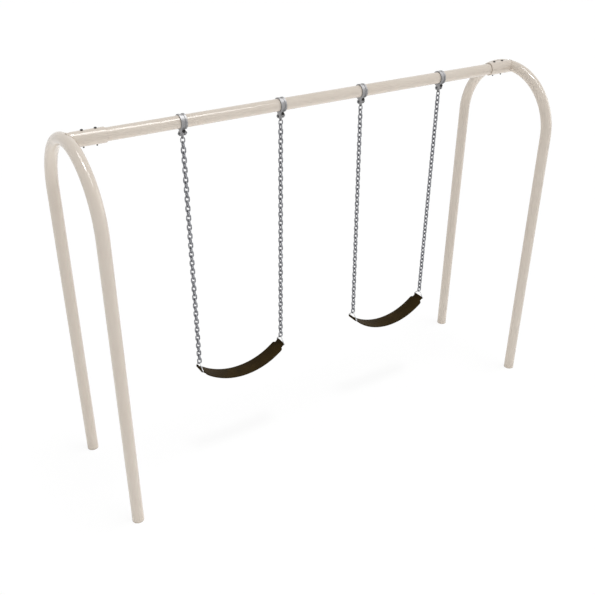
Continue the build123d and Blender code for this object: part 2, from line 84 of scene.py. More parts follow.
# %% Camera
CAMERA_PLACE = Vector((-2.8244, -4.1698, 3.7764))
CAMERA_YAW = radians(32.41)
CAMERA_PITCH = radians(29.34)
CAMERA_ROLL = radians(0.27)
SENSOR_WIDTH = 36.0
LENS_LENGTH = 48.367
SIGHT = 200.0  # metres up to which the camera sees

forward = Vector((
    sin(CAMERA_YAW) * cos(CAMERA_PITCH),
    cos(CAMERA_YAW) * cos(CAMERA_PITCH),
    -sin(CAMERA_PITCH),
))
level_right = Vector((cos(CAMERA_YAW), -sin(CAMERA_YAW), 0))
level_up = level_right.cross(forward)
right = level_right * cos(CAMERA_ROLL) + level_up * sin(CAMERA_ROLL)
up = level_up * cos(CAMERA_ROLL) - level_right * sin(CAMERA_ROLL)

camera = bpy.data.objects.new("camera", bpy.data.cameras.new("camera"))
camera.data.sensor_width = SENSOR_WIDTH
camera.data.lens = LENS_LENGTH
camera.data.clip_end = SIGHT
turn = Matrix((right, up, -forward)).transposed().to_4x4()
camera.matrix_world = Matrix.Translation(CAMERA_PLACE) @ turn
scene.collection.objects.link(camera)
scene.camera = camera
print("lens", round(camera.data.lens, 2), "mm, looks along", [round(value, 3) for value in forward])

# %% [markdown]
# ## Small tools for node trees
#
# Colours are written as the hex values a designer would pick on screen, and
# one function turns them into the linear numbers that light is computed
# with. A second function adds one node: it takes the node's settings and
# links its inputs, so each material reads as a list of what feeds what. A
# third gives an empty material to start from.

# %% Colour helper
def linear(hex_colour):
    """The linear RGBA value of an sRGB hex colour."""
    channels = []
    for start in (1, 3, 5):
        value = int(hex_colour[start:start + 2], 16) / 255
        channels.append(value / 12.92 if value <= 0.04045 else ((value + 0.055) / 1.055) ** 2.4)
    return (*channels, 1.0)


WHITE = linear("#FFFFFF")
print("mid grey is", [round(value, 3) for value in linear("#808080")])

# %% Node helper
# A Mix node has sockets for numbers, vectors and colours. These are its colour ones.
SHARE, FIRST, SECOND, MIXED = 0, 6, 7, 2


def add(tree, kind, inputs=None, **settings):
    """Adds one node. An input is a plain value, an output, or a node for its first output."""
    node = tree.nodes.new(kind)
    for name, value in settings.items():
        setattr(node, name, value)
    for key, value in (inputs or {}).items():
        if isinstance(value, bpy.types.Node):
            value = value.outputs[0]
        if isinstance(value, bpy.types.NodeSocket):
            tree.links.new(value, node.inputs[key])
        else:
            node.inputs[key].default_value = value
    return node


def start_material(name):
    """An empty material and its node tree."""
    material = bpy.data.materials.new(name)
    material.use_nodes = True
    material.node_tree.nodes.clear()
    return material, material.node_tree


print("colours mix from sockets", FIRST, "and", SECOND)

# %% [markdown]
# ## Floor, sky and lamps
#
# An object for a catalogue stands on a seamless white sheet. Here the sheet
# is a large plane that scatters light like white paper. Most of what the
# camera sees of it is plain white, so that shadows stay faint, and it gives
# a little light of its own to the set, as a wide bright sheet does. The sky
# is white to the camera and to reflections, and gives soft light from all
# round. A sun almost straight above gives the tubes their form and the seats
# their shadows, and a wide, weaker one from the side brightens the far edges.
# A long strip lamp that faces down and only shows in reflections draws the
# thin bright line on the glossy coating.

# %% Floor
MM = 0.001
FLOOR_SIDE = 120.0
FLOOR_DROP = 0.4 * MM  # just under the feet, so that the two don't flicker

floor_mesh = bpy.data.meshes.new("floor")
half_side = FLOOR_SIDE / 2
floor_corners = [(x * half_side, y * half_side, 0) for x, y in ((-1, -1), (1, -1), (1, 1), (-1, 1))]
floor_mesh.from_pydata(floor_corners, [], [(0, 1, 2, 3)])
floor = bpy.data.objects.new("floor", floor_mesh)
floor.location.z = -FLOOR_DROP
scene.collection.objects.link(floor)
print("the floor is", FLOOR_SIDE, "m wide and", round(FLOOR_DROP / MM, 1), "mm under the feet")

# %% White paper
FLOOR_LIFT = 0.89  # share of plain white in what the camera sees of the floor
FLOOR_WHITE = 1.02  # a touch over white, to make up for the scattering share
FLOOR_GLOW = 0.26  # what the sheet sends up to the set beside what it scatters


def looked_at(tree, seen):
    """1 where the sheet or sky is looked at, also in a reflection or through glass, else 0."""
    plain = add(tree, "ShaderNodeMath", {
        0: seen["Is Camera Ray"], 1: seen["Is Glossy Ray"],
    }, operation="MAXIMUM")
    return add(tree, "ShaderNodeMath", {
        0: plain, 1: seen["Is Transmission Ray"],
    }, operation="MAXIMUM")


paper, tree = start_material("white_paper_sheet")
seen = add(tree, "ShaderNodeLightPath").outputs
lift = add(tree, "ShaderNodeMath", {0: looked_at(tree, seen), 1: FLOOR_LIFT}, operation="MULTIPLY")
scatter = add(tree, "ShaderNodeBsdfDiffuse", {"Color": WHITE})
white = add(tree, "ShaderNodeEmission", {"Color": WHITE, "Strength": FLOOR_WHITE})
glow_share = add(tree, "ShaderNodeMath", {
    0: seen["Is Diffuse Ray"], 1: FLOOR_GLOW,
}, operation="MULTIPLY")
glow = add(tree, "ShaderNodeEmission", {"Color": WHITE, "Strength": glow_share})
lit = add(tree, "ShaderNodeAddShader", {0: scatter, 1: glow})
mixed = add(tree, "ShaderNodeMixShader", {0: lift, 1: lit, 2: white})
add(tree, "ShaderNodeOutputMaterial", {"Surface": mixed})
floor_mesh.materials.append(paper)
floor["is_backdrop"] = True
print("the white paper takes", len(tree.nodes), "nodes")

# %% Sky
SKY_LIGHT = 0.45
SKY_WHITE = 1.0

world = bpy.data.worlds.new("studio")
world.use_nodes = True
scene.world = world
tree = world.node_tree
tree.nodes.clear()
seen = add(tree, "ShaderNodeLightPath").outputs
soft_sky = add(tree, "ShaderNodeBackground", {"Color": WHITE, "Strength": SKY_LIGHT})
white_sky = add(tree, "ShaderNodeBackground", {"Color": WHITE, "Strength": SKY_WHITE})
mixed = add(tree, "ShaderNodeMixShader", {0: looked_at(tree, seen), 1: soft_sky, 2: white_sky})
add(tree, "ShaderNodeOutputWorld", {"Surface": mixed})
scene.view_settings.view_transform = "Standard"
print("sky light", SKY_LIGHT, "and view", scene.view_settings.view_transform)

# %% Suns
def sun(name, towards, strength, angle):
    """A sun whose light comes from the given direction, as wide as the angle in degrees."""
    lamp = bpy.data.objects.new(name, bpy.data.lights.new(name, "SUN"))
    lamp.data.energy = strength
    lamp.data.angle = radians(angle)
    lamp.rotation_mode = "QUATERNION"
    lamp.rotation_quaternion = Vector(towards).to_track_quat("Z", "Y")
    scene.collection.objects.link(lamp)


sun("soft_key", towards=(0.09, -0.085, 0.99), strength=1.30, angle=12)
sun("side_fill", towards=(0.96, -0.24, 0.14), strength=0.60, angle=40)

# %% Strip lamp
STRIP_HEIGHT = 40.0
STRIP_ASIDE = (0.250, -0.175)  # how far aside it hangs, as shares of its height
STRIP_LENGTH = 46.0
STRIP_WIDTH = 8.4
STRIP_TURN = radians(-59.3)
STRIP_POWER = 10500.0

glint = bpy.data.objects.new("glint", bpy.data.lights.new("glint", "AREA"))
glint.data.shape = "RECTANGLE"
glint.data.size = STRIP_LENGTH
glint.data.size_y = STRIP_WIDTH
glint.data.energy = STRIP_POWER
glint.location = (STRIP_ASIDE[0] * STRIP_HEIGHT, STRIP_ASIDE[1] * STRIP_HEIGHT, STRIP_HEIGHT)
glint.rotation_euler.z = STRIP_TURN
glint.visible_camera = False
glint.visible_diffuse = False
scene.collection.objects.link(glint)

# %% [markdown]
# ## Sand powder coat on steel
#
# Polyester powder is sprayed on dry and baked, so it flows into a smooth,
# slightly rippled skin. The eye reads it from three things: a colour that
# hardly varies, a sharp but soft-edged highlight, and the faint orange peel
# that frosts that highlight. The peel is a bump two or three millimetres wide.
# Near the ground the coat carries a little dust. Where one tube enters another, painted shade darkens the colour
# in the creases. All this could be painted on an unwrapped skin. Noise of a real size needs no unwrapping and
# stays sharp close by.

# %% Powder coat: colour, dust and painted crease shade
SHADE_DRIFT = 260 * MM  # how far the colour stays the same
DUST_HEIGHT = 90 * MM  # how high above the ground dust lies
SPECK_SIZE = 9 * MM
DUST_MOST = 0.35
# The next four numbers set the painted shade in creases: the colour darkens where other surfaces are close by.
CREASE_SHADE_REACH = 16 * MM  # how near another surface makes a crease
CREASE_SHADE_DEEP = 0.25  # how open the view out of the darkest crease is
CREASE_SHADE_NONE = 0.80  # how open it is where a crease ends
CREASE_SHADE_MOST = 0.75

powder_coat, tree = start_material("sand_polyester_powder_coat")
where = add(tree, "ShaderNodeTexCoord").outputs["Object"]
drift = add(tree, "ShaderNodeTexNoise", {"Vector": where, "Scale": 1 / SHADE_DRIFT, "Detail": 2.0})
coat_colour = add(tree, "ShaderNodeMix", {
    SHARE: drift, FIRST: linear("#DACEC0"), SECOND: linear("#E0D6CA"),
}, data_type="RGBA").outputs[MIXED]

height = add(tree, "ShaderNodeSeparateXYZ", {0: where}).outputs["Z"]
low = add(tree, "ShaderNodeMapRange", {
    "Value": height, "From Max": DUST_HEIGHT, "To Min": 1.0, "To Max": 0.0,
})
specks = add(tree, "ShaderNodeTexNoise", {"Vector": where, "Scale": 1 / SPECK_SIZE, "Detail": 5.0})
dusty = add(tree, "ShaderNodeMath", {0: low, 1: specks}, operation="MULTIPLY")
dust_share = add(tree, "ShaderNodeMath", {0: dusty, 1: DUST_MOST}, operation="MULTIPLY")
coat_dusted = add(tree, "ShaderNodeMix", {
    SHARE: dust_share, FIRST: coat_colour, SECOND: linear("#B9AB98"),
}, data_type="RGBA").outputs[MIXED]

# Painted shade: ambient occlusion mixes the coat towards dark brown #7A6A58 in the creases where tubes meet, and
# on the weld beads.
openness = add(tree, "ShaderNodeAmbientOcclusion", {"Distance": CREASE_SHADE_REACH}, samples=8)
painted_crease_shade = add(tree, "ShaderNodeMapRange", {
    "Value": openness.outputs["AO"], "From Min": CREASE_SHADE_DEEP, "From Max": CREASE_SHADE_NONE,
    "To Min": CREASE_SHADE_MOST, "To Max": 0.0,
})
# The dark brown here is painted crease shade, not a colour that the coat has.
coat_with_crease_shade = add(tree, "ShaderNodeMix", {
    SHARE: painted_crease_shade, FIRST: coat_dusted, SECOND: linear("#7A6A58"),
}, data_type="RGBA").outputs[MIXED]
print("dust up to", DUST_HEIGHT / MM, "mm, creases", CREASE_SHADE_REACH / MM, "mm wide")

# %% Powder coat: peel and gloss
PEEL_SIZE = 2.5 * MM
PEEL_DEPTH = 0.006 * MM

peel = add(tree, "ShaderNodeTexNoise", {"Vector": where, "Scale": 1 / PEEL_SIZE, "Detail": 1.0})
peel_bump = add(tree, "ShaderNodeBump", {"Height": peel, "Distance": PEEL_DEPTH, "Strength": 0.6})
coat_rough = add(tree, "ShaderNodeMapRange", {"Value": drift, "To Min": 0.09, "To Max": 0.13})
coat_rough_dusted = add(tree, "ShaderNodeMath", {0: coat_rough, 1: dust_share}, operation="ADD")
shader = add(tree, "ShaderNodeBsdfPrincipled", {
    "Base Color": coat_with_crease_shade, "Roughness": coat_rough_dusted, "IOR": 1.5, "Normal": peel_bump,
})
add(tree, "ShaderNodeOutputMaterial", {"Surface": shader})
print(powder_coat.name, "has a peel of", PEEL_SIZE / MM, "mm")

# %% [markdown]
# ## Galvanised castings
#
# The clamps are malleable iron dipped in molten zinc. The zinc freezes into
# crystals, so the grey changes a little from patch to patch, and the cast
# skin under it stays slightly grainy. Voronoi cells give the crystals, each
# with its own grey and roughness, because they meet in straight borders as
# crystals do, and plain noise doesn't.

# %% Galvanised iron
CRYSTAL_SIZE = 6 * MM
STAIN_SIZE = 25 * MM
STAIN_SHARE = 0.45
CAST_GRAIN = 1.4 * MM
CAST_DEPTH = 0.12 * MM

galvanised, tree = start_material("galvanised_malleable_iron")
where = add(tree, "ShaderNodeTexCoord").outputs["Object"]
crystal = add(tree, "ShaderNodeTexVoronoi", {"Vector": where, "Scale": 1 / CRYSTAL_SIZE}).outputs["Color"]
crystal_tone = add(tree, "ShaderNodeSeparateColor", {0: crystal})
stain = add(tree, "ShaderNodeTexNoise", {"Vector": where, "Scale": 1 / STAIN_SIZE, "Detail": 4.0})
zinc_tone = add(tree, "ShaderNodeMix", {"Factor": STAIN_SHARE, "A": crystal_tone, "B": stain})
zinc_colour = add(tree, "ShaderNodeMix", {
    SHARE: zinc_tone, FIRST: linear("#858586"), SECOND: linear("#B0AFB0"),
}, data_type="RGBA").outputs[MIXED]
zinc_rough = add(tree, "ShaderNodeMapRange", {"Value": crystal_tone, "To Min": 0.44, "To Max": 0.60})
grain = add(tree, "ShaderNodeTexNoise", {"Vector": where, "Scale": 1 / CAST_GRAIN, "Detail": 3.0})
grain_bump = add(tree, "ShaderNodeBump", {"Height": grain, "Distance": CAST_DEPTH, "Strength": 0.7})
shader = add(tree, "ShaderNodeBsdfPrincipled", {
    "Base Color": zinc_colour, "Metallic": 0.85, "Roughness": zinc_rough, "Normal": grain_bump,
})
add(tree, "ShaderNodeOutputMaterial", {"Surface": shader})
print(galvanised.name, "has crystals of", round(CRYSTAL_SIZE / MM, 1), "mm")

# %% [markdown]
# ## Zinc-plated chain and bright wire
#
# Chain is bent from drawn wire, welded, then plated. Plating follows the
# wire closely, so it is smoother than dipped zinc. It reads as plain metal
# in soft clouds of lighter and darker grey, with fine scratches that run
# down the chain. The seat triangles are the same wire trade with a brighter
# plate. The pivot bolts, the springy plates in the seats and the bronze
# bushes are turned or rolled, and the same recipe gives them other tones.

# %% Plated steels
CLOUD_SIZE = 14 * MM
CLOUD_RANGE = (0.35, 0.65)  # the noise levels that become the darker and the lighter tone
SCRATCH_SIZE = 0.9 * MM
SCRATCH_SQUEEZE = 0.12  # makes a scratch longer downwards than across


def plated_steel(name, dark, light, rough, scratch_depth):
    """Drawn and plated wire or turned metal, from a darker and a lighter tone."""
    material, tree = start_material(name)
    where = add(tree, "ShaderNodeTexCoord").outputs["Object"]
    cloud = add(tree, "ShaderNodeTexNoise", {"Vector": where, "Scale": 1 / CLOUD_SIZE, "Detail": 4.0})
    sharp = add(tree, "ShaderNodeMapRange", {
        "Value": cloud, "From Min": CLOUD_RANGE[0], "From Max": CLOUD_RANGE[1],
    })
    colour = add(tree, "ShaderNodeMix", {
        SHARE: sharp, FIRST: linear(dark), SECOND: linear(light),
    }, data_type="RGBA").outputs[MIXED]
    roughness = add(tree, "ShaderNodeMapRange", {
        "Value": cloud, "To Min": rough[0], "To Max": rough[1],
    })
    drawn = add(tree, "ShaderNodeMapping", {"Vector": where, "Scale": (1.0, 1.0, SCRATCH_SQUEEZE)})
    scratches = add(tree, "ShaderNodeTexNoise", {
        "Vector": drawn, "Scale": 1 / SCRATCH_SIZE, "Detail": 2.0,
    })
    bump = add(tree, "ShaderNodeBump", {
        "Height": scratches, "Distance": scratch_depth, "Strength": 0.6,
    })
    shader = add(tree, "ShaderNodeBsdfPrincipled", {
        "Base Color": colour, "Metallic": 1.0, "Roughness": roughness, "Normal": bump,
    })
    add(tree, "ShaderNodeOutputMaterial", {"Surface": shader})
    return material


chain_steel = plated_steel(
    "zinc_plated_welded_chain", dark="#74757A", light="#A3A4A8", rough=(0.28, 0.42), scratch_depth=0.05 * MM,
)
bright_wire = plated_steel(
    "bright_zinc_plated_wire", dark="#A6A8AA", light="#CFD0D1", rough=(0.18, 0.30), scratch_depth=0.03 * MM,
)
bolt_steel = plated_steel(
    "zinc_plated_bolts", dark="#5C5E60", light="#85878A", rough=(0.26, 0.40), scratch_depth=0.03 * MM,
)
insert_steel = plated_steel(
    "rolled_spring_steel", dark="#5A5D62", light="#74777C", rough=(0.34, 0.50), scratch_depth=0.02 * MM,
)
bush_bronze = plated_steel(
    "oil_filled_bronze", dark="#8A6432", light="#B0854A", rough=(0.34, 0.46), scratch_depth=0.02 * MM,
)
print("metals:", chain_steel.name, bright_wire.name, bolt_steel.name, insert_steel.name, bush_bronze.name)

# %% [markdown]
# ## Black oxide on the bolts
#
# The bolts of the beam and of the clamps are blackened in a hot salt bath.
# The layer is thin and slightly satin, so it stays almost black, with soft
# grey where the light grazes it and a hint of brown where oil has dried.
# One noise drives both colour and gloss, since oil changes both at once.

# %% Black oxide
OIL_PATCH = 11 * MM
PORE_SIZE = 1.1 * MM
PORE_DEPTH = 0.06 * MM

black_oxide, tree = start_material("black_oxide_steel")
where = add(tree, "ShaderNodeTexCoord").outputs["Object"]
oil = add(tree, "ShaderNodeTexNoise", {"Vector": where, "Scale": 1 / OIL_PATCH, "Detail": 4.0})
oxide_colour = add(tree, "ShaderNodeMix", {
    SHARE: oil, FIRST: linear("#161617"), SECOND: linear("#2A2826"),
}, data_type="RGBA").outputs[MIXED]
oxide_rough = add(tree, "ShaderNodeMapRange", {"Value": oil, "To Min": 0.38, "To Max": 0.55})
pores = add(tree, "ShaderNodeTexNoise", {"Vector": where, "Scale": 1 / PORE_SIZE, "Detail": 2.0})
pore_bump = add(tree, "ShaderNodeBump", {"Height": pores, "Distance": PORE_DEPTH, "Strength": 0.6})
shader = add(tree, "ShaderNodeBsdfPrincipled", {
    "Base Color": oxide_colour, "Metallic": 0.35, "Roughness": oxide_rough, "Normal": pore_bump,
})
add(tree, "ShaderNodeOutputMaterial", {"Surface": shader})
print(black_oxide.name, "has oil patches of", round(OIL_PATCH / MM), "mm")

# %% [markdown]
# ## Moulded rubber
#
# The belts are pressed from dark rubber in a steel mould. New rubber is
# matt with a weak sheen, warm rather than neutral black. Fine matt grain
# breaks up the highlight, and a faint bloom, a wax that comes out of the
# rubber, lies on it in soft patches as wide as a hand. The grain could be
# modelled, but at this size a bump does the same for the eye.

# %% Rubber
BLOOM_SIZE = 70 * MM
BLOOM_RANGE = (0.35, 0.75)  # the noise levels where bloom begins and is full
RUBBER_GRAIN = 1.6 * MM
RUBBER_DEPTH = 0.12 * MM

rubber, tree = start_material("moulded_brown_black_rubber")
where = add(tree, "ShaderNodeTexCoord").outputs["Object"]
bloom = add(tree, "ShaderNodeTexNoise", {"Vector": where, "Scale": 1 / BLOOM_SIZE, "Detail": 3.0})
bloom_share = add(tree, "ShaderNodeMapRange", {
    "Value": bloom, "From Min": BLOOM_RANGE[0], "From Max": BLOOM_RANGE[1],
})
rubber_colour = add(tree, "ShaderNodeMix", {
    SHARE: bloom_share, FIRST: linear("#2C210C"), SECOND: linear("#382B13"),
}, data_type="RGBA").outputs[MIXED]
rubber_rough = add(tree, "ShaderNodeMapRange", {"Value": bloom, "To Min": 0.50, "To Max": 0.66})
rubber_grain = add(tree, "ShaderNodeTexNoise", {
    "Vector": where, "Scale": 1 / RUBBER_GRAIN, "Detail": 3.0,
})
rubber_bump = add(tree, "ShaderNodeBump", {
    "Height": rubber_grain, "Distance": RUBBER_DEPTH, "Strength": 0.6,
})
shader = add(tree, "ShaderNodeBsdfPrincipled", {
    "Base Color": rubber_colour, "Roughness": rubber_rough, "IOR": 1.45,
    "Specular IOR Level": 0.04, "Normal": rubber_bump,
})
add(tree, "ShaderNodeOutputMaterial", {"Surface": shader})
print(rubber.name, "has a grain of", RUBBER_GRAIN / MM, "mm")

# %% [markdown]
# ## Dressing the exact pieces
#
# Each solid already knows its material slot from the record. A dictionary
# from slot to finish dresses them all, so no piece can be forgotten.

# %% Give every solid its finish
slot_of_node = {part["node"]: part["material_slot"] for part in frame["record"]["subparts"]}
finish_of_slot = {
    "powder_coat": powder_coat,
    "galvanised_castings": galvanised,
    "zinc_chain": chain_steel,
    "bright_steel": bright_wire,
    "plated_bolts": bolt_steel,
    "black_bolts": black_oxide,
    "spring_steel": insert_steel,
    "bronze": bush_bronze,
    "seat_rubber": rubber,
}
for node, solid in frame["nodes"].items():
    for slot in solid.material_slots:
        slot.material = finish_of_slot[slot_of_node[node]]
print("dressed", len(frame["nodes"]), "solids in", len(finish_of_slot), "finishes")

# %% [markdown]
# ## Running Geometry Nodes as a workshop
#
# A node tree is like a jig: it makes the same shape again from a few named
# sizes. Each tree below is run on a mesh, and the result is kept as an
# ordinary mesh, so that it can ride on its own moving body.

# %% Jig helpers
def start_jig(name, sizes):
    """A Geometry Nodes tree whose inputs are the named sizes."""
    tree = bpy.data.node_groups.new(name, "GeometryNodeTree")
    tree.interface.new_socket("Geometry", in_out="INPUT", socket_type="NodeSocketGeometry")
    for label, kind in sizes.items():
        tree.interface.new_socket(label, in_out="INPUT", socket_type="NodeSocket" + kind)
    tree.interface.new_socket("Geometry", in_out="OUTPUT", socket_type="NodeSocketGeometry")
    print("jig", name, "takes", ", ".join(sizes))
    return tree, add(tree, "NodeGroupInput").outputs


def run_jig(tree, name, values, start_mesh=None):
    """Runs the tree once and keeps what it made as a plain mesh object."""
    piece = bpy.data.objects.new(name, start_mesh or bpy.data.meshes.new(name))
    scene.collection.objects.link(piece)
    modifier = piece.modifiers.new(tree.name, "NODES")
    modifier.node_group = tree
    for socket in tree.interface.items_tree:
        if socket.in_out == "INPUT" and socket.name in values:
            modifier[socket.identifier] = values[socket.name]
    graph = bpy.context.evaluated_depsgraph_get()
    made = bpy.data.meshes.new_from_object(piece.evaluated_get(graph))
    piece.modifiers.remove(modifier)
    piece.data = made
    made.name = name
    return piece


print("jigs so far:", len(bpy.data.node_groups))

# %% Places and bodies from the frame
joints = {joint["name"]: joint for joint in frame["joints"]}
nodes_of_body = frame["record"]["behaviour"]["bodies"]
body_of_node = {node: body for body, nodes in nodes_of_body.items() for node in nodes}


def joint_place(name):
    """Where a joint turns, at rest."""
    return Vector(joints[name]["pos_m"])


def middle(node):
    """The middle of a node's box."""
    low_corner, high_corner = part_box(node)
    return (low_corner + high_corner) / 2


def settle(piece, node):
    """Lets a finished piece move with a solid's body, in place of that solid."""
    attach(piece, body_of_node[node])
    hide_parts(node)
    return piece


print("the left swing turns at", [round(value, 4) for value in joint_place("left_swing")])

# %% [markdown]
# ## Chain links
#
# A link is a rod bent into an oval and welded shut, so one straight side
# carries a small swelling where the ends met. The jig draws the oval from a
# rectangle with fully rounded corners, sweeps the wire along it, adds the
# weld, and repeats it down the chain with every second link turned a
# quarter. Ring, chain and end link all come from this one jig. The links
# could stay separate objects, but a chain moves as one, so one mesh is
# simpler. It has under 20,000 faces, so that its wire looks round close by.

# %% Link jig: one link
BEND_STEPS = 7
WIRE_SIDES = 10
WELD_RINGS = 6
WELD_SWELL = 1.13  # weld thickness as a share of the wire's
WELD_LENGTH = 0.75  # half the weld's length as a share of the wire's thickness
SAME_POINT = 0.01 * MM

link_jig, size = start_jig("welded_links", {
    "Links": "Int", "Pitch": "Float", "Length": "Float", "Width": "Float", "Wire": "Float",
    "First turn": "Float", "Lean": "Float", "First centre": "Vector", "Finish": "Material",
})
across = add(link_jig, "ShaderNodeMath", {0: size["Width"], 1: size["Wire"]}, operation="SUBTRACT")
tall = add(link_jig, "ShaderNodeMath", {0: size["Length"], 1: size["Wire"]}, operation="SUBTRACT")
bend = add(link_jig, "ShaderNodeMath", {0: across, 1: 0.5}, operation="MULTIPLY")
box_line = add(link_jig, "GeometryNodeCurvePrimitiveQuadrilateral", {"Width": across, "Height": tall})
oval = add(link_jig, "GeometryNodeFilletCurve", {
    "Curve": box_line, "Radius": bend, "Count": BEND_STEPS, "Limit Radius": True,
}, mode="POLY")
wire_radius = add(link_jig, "ShaderNodeMath", {0: size["Wire"], 1: 0.5}, operation="MULTIPLY")
section = add(link_jig, "GeometryNodeCurvePrimitiveCircle", {
    "Resolution": WIRE_SIDES, "Radius": wire_radius,
})
bent_wire = add(link_jig, "GeometryNodeCurveToMesh", {"Curve": oval, "Profile Curve": section})

weld_radius = add(link_jig, "ShaderNodeMath", {0: wire_radius, 1: WELD_SWELL}, operation="MULTIPLY")
ball = add(link_jig, "GeometryNodeMeshUVSphere", {
    "Segments": WIRE_SIDES, "Rings": WELD_RINGS, "Radius": weld_radius,
})
weld_place = add(link_jig, "ShaderNodeCombineXYZ", {"X": bend})
weld_ball = add(link_jig, "GeometryNodeTransform", {
    "Geometry": ball, "Translation": weld_place, "Scale": (1.0, 2 * WELD_LENGTH, 1.0),
})
whole_link = add(link_jig, "GeometryNodeJoinGeometry")
for half_made in (bent_wire, weld_ball):
    link_jig.links.new(half_made.outputs[0], whole_link.inputs[0])
clean_link = add(link_jig, "GeometryNodeMergeByDistance", {
    "Geometry": whole_link, "Distance": SAME_POINT,
})
upright = add(link_jig, "GeometryNodeTransform", {"Geometry": clean_link, "Rotation": (pi / 2, 0, 0)})
print("one link takes", len(link_jig.nodes), "nodes")

# %% Link jig: a chain of links
drop = add(link_jig, "ShaderNodeMath", {0: size["Pitch"], 1: -1.0}, operation="MULTIPLY")
step_down = add(link_jig, "ShaderNodeCombineXYZ", {"Z": drop})
spots = add(link_jig, "GeometryNodeMeshLine", {
    "Count": size["Links"], "Offset": step_down,
}, mode="OFFSET")
order = add(link_jig, "GeometryNodeInputIndex")
odd = add(link_jig, "ShaderNodeMath", {0: order, 1: 2.0}, operation="MODULO")
quarter = add(link_jig, "ShaderNodeMath", {
    0: odd, 1: pi / 2, 2: size["First turn"],
}, operation="MULTIPLY_ADD")
turned = add(link_jig, "ShaderNodeCombineXYZ", {"Z": quarter})
hung = add(link_jig, "GeometryNodeInstanceOnPoints", {
    "Points": spots, "Instance": upright, "Rotation": turned,
})
lean_turn = add(link_jig, "ShaderNodeCombineXYZ", {"Y": size["Lean"]})
placed = add(link_jig, "GeometryNodeTransform", {
    "Geometry": hung, "Translation": size["First centre"], "Rotation": lean_turn,
})
smooth = add(link_jig, "GeometryNodeSetShadeSmooth", {"Geometry": placed})
real = add(link_jig, "GeometryNodeRealizeInstances", {"Geometry": smooth})
finished = add(link_jig, "GeometryNodeSetMaterial", {"Geometry": real, "Material": size["Finish"]})
add(link_jig, "NodeGroupOutput", {"Geometry": finished})
print("the whole jig has", len(link_jig.nodes), "nodes")

# %% Hang rings, chains and end links
CHAIN_LINKS = 49

chain_joints = {
    1: ("left_sway", "left_level"),
    2: ("left_sway_far", "left_level_far"),
    3: ("right_sway", "right_level"),
    4: ("right_sway_far", "right_level_far"),
}
for number, joint_names in chain_joints.items():
    top, bottom = (joint_place(name) for name in joint_names)
    down = (bottom - top).normalized()
    lean = atan2(-down.x, -down.z)
    chain_node, end_node, ring_node = f"chain_{number}", f"end_link_{number}", f"hanger_ring_{number}"

    low_corner, high_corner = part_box(end_node)
    link_width, link_wire, link_length = high_corner - low_corner
    chain_low, chain_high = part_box(chain_node)
    pitch = (chain_high.z - chain_low.z - link_length) / (CHAIN_LINKS - 1) / cos(lean)
    first_centre = bottom - down * (link_wire / 2 + (CHAIN_LINKS - 0.5) * pitch)
    sizes = {
        "Length": link_length, "Width": link_width, "Wire": link_wire,
        "Pitch": pitch, "Finish": chain_steel,
    }
    chain = run_jig(link_jig, f"links_of_chain_{number}", {
        **sizes, "Links": CHAIN_LINKS, "First turn": pi / 2, "Lean": lean, "First centre": first_centre,
    })
    settle(chain, chain_node)
    end_link = run_jig(link_jig, f"welded_end_link_{number}", {
        **sizes, "Links": 1, "First turn": 0.0, "Lean": 0.0, "First centre": middle(end_node),
    })
    settle(end_link, end_node)

    ring_low, ring_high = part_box(ring_node)
    ring_width, ring_wire, ring_length = ring_high - ring_low
    ring = run_jig(link_jig, f"welded_hanger_ring_{number}", {
        "Length": ring_length, "Width": ring_width, "Wire": ring_wire, "Pitch": 0.0,
        "Finish": chain_steel, "Links": 1, "First turn": 0.0, "Lean": lean,
        "First centre": middle(ring_node),
    })
    settle(ring, ring_node)
    print(chain.name, "pitch", round(pitch / MM, 2), "mm, lean", round(degrees(lean), 2), "degrees,",
          len(chain.data.polygons), "faces")

# %% [markdown]
# ## Bolts and nuts
#
# A bolt is a turned and forged thing: round shank, rolled thread, hexagon
# head with its corners chamfered at thirty degrees. All of that can be told
# as a stack of rings, each with a height, a limit to its radius and,
# where it is a hexagon, a width across flats. The chamfer appears by itself
# where the limit cuts the hexagon's corners. One ring stack makes one
# fastener, and a small Geometry Nodes jig then sets a copy on every spot.

# %% Solids from a stack of rings
RING_POINTS = 48
CREASE_ANGLE = radians(28)  # edges sharper than this stay crisp


def ring_radius(angle, limit, flats):
    """Radius at an angle: round, or a hexagon with its corners cut off."""
    if not flats:
        return limit
    from_flat = (angle % (pi / 3)) - pi / 6
    return min(limit, flats / 2 / cos(from_flat))


def turned_solid(name, rings, hollow=False):
    """A closed mesh from rings of (height, radius limit, across flats)."""
    mesh = bpy.data.meshes.new(name)
    shape = bmesh.new()
    loops = []
    for height, limit, flats in rings:
        angles = [2 * pi * step / RING_POINTS for step in range(RING_POINTS)]
        radii = [ring_radius(angle, limit, flats) for angle in angles]
        loops.append([shape.verts.new((r * cos(a), r * sin(a), height)) for a, r in zip(angles, radii)])
    pairs = list(zip(loops, loops[1:]))
    if hollow:
        pairs.append((loops[-1], loops[0]))
    for lower, upper in pairs:
        for step in range(RING_POINTS):
            after = (step + 1) % RING_POINTS
            shape.faces.new((lower[step], lower[after], upper[after], upper[step]))
    if not hollow:
        shape.faces.new(list(reversed(loops[0])))
        shape.faces.new(loops[-1])
    bmesh.ops.recalc_face_normals(shape, faces=shape.faces)
    shape.to_mesh(mesh)
    shape.free()
    mesh.shade_smooth()
    mesh.set_sharp_from_angle(angle=CREASE_ANGLE)
    print(name, "has", len(rings), "rings and", len(mesh.polygons), "faces")
    return mesh


# %% Threads and chamfered hexagons
CHAMFER_STEPS = 3
CHAMFER_ANGLE = radians(30)
FACE_SHARE = 0.95  # the flat top's radius as a share of half the flats
THREAD_DEPTH = 0.54  # as a share of the pitch


def chamfered_end(base, flats):
    """Rings that take a full hexagon up to its chamfered end at a height."""
    corner = flats / sqrt(3)
    face = flats / 2 * FACE_SHARE
    drop = (corner - face) * tan(CHAMFER_ANGLE)
    shares = [step / CHAMFER_STEPS for step in range(CHAMFER_STEPS + 1)]
    return [(base - drop * (1 - share), corner + (face - corner) * share, flats) for share in shares]


